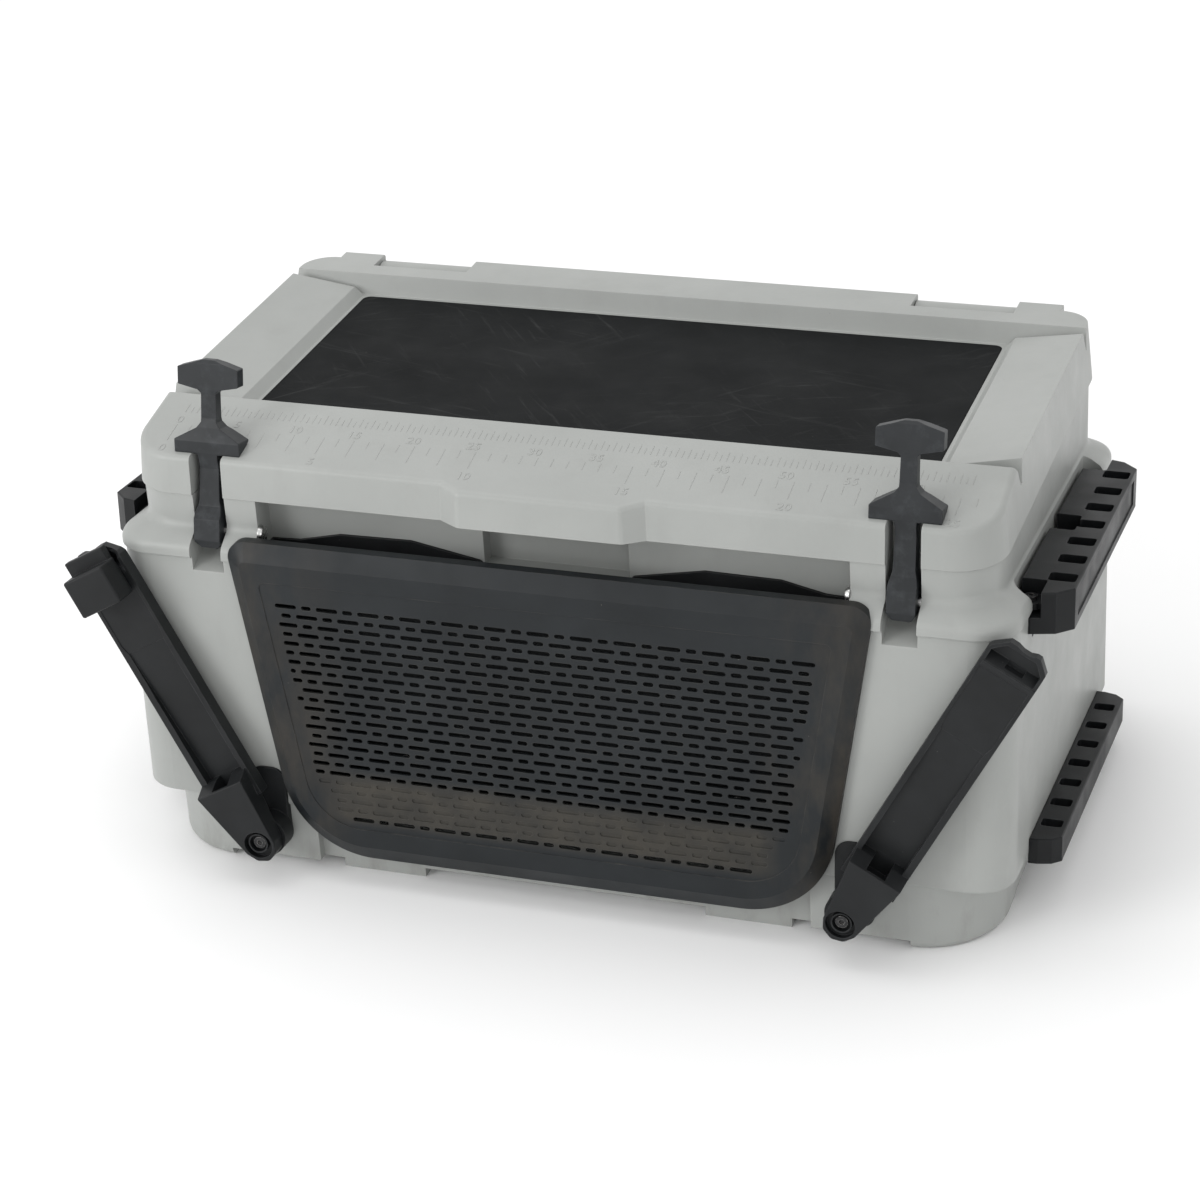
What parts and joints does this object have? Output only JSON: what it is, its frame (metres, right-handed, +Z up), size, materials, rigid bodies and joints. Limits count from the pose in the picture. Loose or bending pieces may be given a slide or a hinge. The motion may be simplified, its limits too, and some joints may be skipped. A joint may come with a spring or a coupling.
{
  "type": "marine cooler box",
  "caption": "Hard-sided fishing cooler with hinged ruler lid, rubber T-latches, perforated front pocket, swing-out front arms and slotted side racks.",
  "frame": {"origin": "on the floor, under the middle of the overall bounding box", "axes": "+X to the right seen from the front, +Y towards the hinge, +Z up; the front pocket faces -Y"},
  "size_m": [0.7914, 0.4649, 0.427],
  "materials": {
    "shell_grey": "fine-grained moulded polyethylene, satin on the shoulder",
    "liner_grey": "smooth moulded polyethylene",
    "foam": "rigid insulating foam",
    "black_plastic": "semi-matt moulded plastic",
    "rack_plastic": "matt moulded plastic",
    "basket": "matt moulded plastic with dusty scuffs",
    "latch_rubber": "matt moulded rubber",
    "mat": "matt foam rubber with light scuffs",
    "seal_rubber": "soft rubber",
    "steel": "polished stainless steel",
    "black_screw": "black-coated steel"
  },
  "bodies": {
    "body": {"body_shell": "shell_grey", "body_liner": "liner_grey", "body_foam": "foam", "hinge_rod": "steel", "latch_pin_right": "steel", "latch_pin_left": "steel", "front_basket": "basket", "basket_backing": "black_plastic", "basket_screws": "black_screw", "arm_bracket_right": "black_plastic", "arm_bracket_left": "black_plastic", "arm_screw_right": "black_screw", "arm_screw_left": "black_screw", "upper_rack_right": "rack_plastic", "upper_rack_left": "rack_plastic", "lower_rack_right": "rack_plastic", "lower_rack_left": "rack_plastic", "rack_screws_right": "black_screw", "rack_screws_left": "black_screw", "drain_bushing": "black_plastic"},
    "lid": {"lid_shell": "shell_grey", "lid_liner": "liner_grey", "lid_foam": "foam", "lid_gasket": "seal_rubber", "lid_mat": "mat"},
    "latch_left": {"latch_left": "latch_rubber"},
    "latch_right": {"latch_right": "latch_rubber"},
    "arm_left": {"arm_left": "black_plastic", "arm_left_block": "black_plastic"},
    "arm_right": {"arm_right": "black_plastic"},
    "drain_plug": {"drain_plug": "black_plastic", "drain_gasket": "seal_rubber"}
  },
  "joints": [
    {"name": "lid_hinge", "type": "hinge", "parent": "body", "child": "lid", "pos_m": [0, 0.21477, 0.352], "axis": [-1, 0, 0], "range_deg": [0, 104]},
    {"name": "latch_left_pin", "type": "hinge", "parent": "body", "child": "latch_left", "pos_m": [-0.28, -0.16653, 0.293], "axis": [1, 0, 0], "range_deg": [0, 110]},
    {"name": "latch_right_pin", "type": "hinge", "parent": "body", "child": "latch_right", "pos_m": [0.28, -0.16653, 0.293], "axis": [1, 0, 0], "range_deg": [0, 110]},
    {"name": "arm_left_pivot", "type": "hinge", "parent": "body", "child": "arm_left", "pos_m": [-0.2425, -0.17123, 0.0372], "axis": [0, -0.9962, 0.0872], "range_deg": [0, 61]},
    {"name": "arm_right_pivot", "type": "hinge", "parent": "body", "child": "arm_right", "pos_m": [0.2425, -0.17123, 0.0372], "axis": [0, 0.9962, -0.0872], "range_deg": [0, 61]},
    {"name": "drain_plug_turn", "type": "hinge", "parent": "body", "child": "drain_plug", "pos_m": [-0.25, 0.22277, 0.06], "axis": [0, 1, 0], "range_deg": [0, 90]}
  ]
}
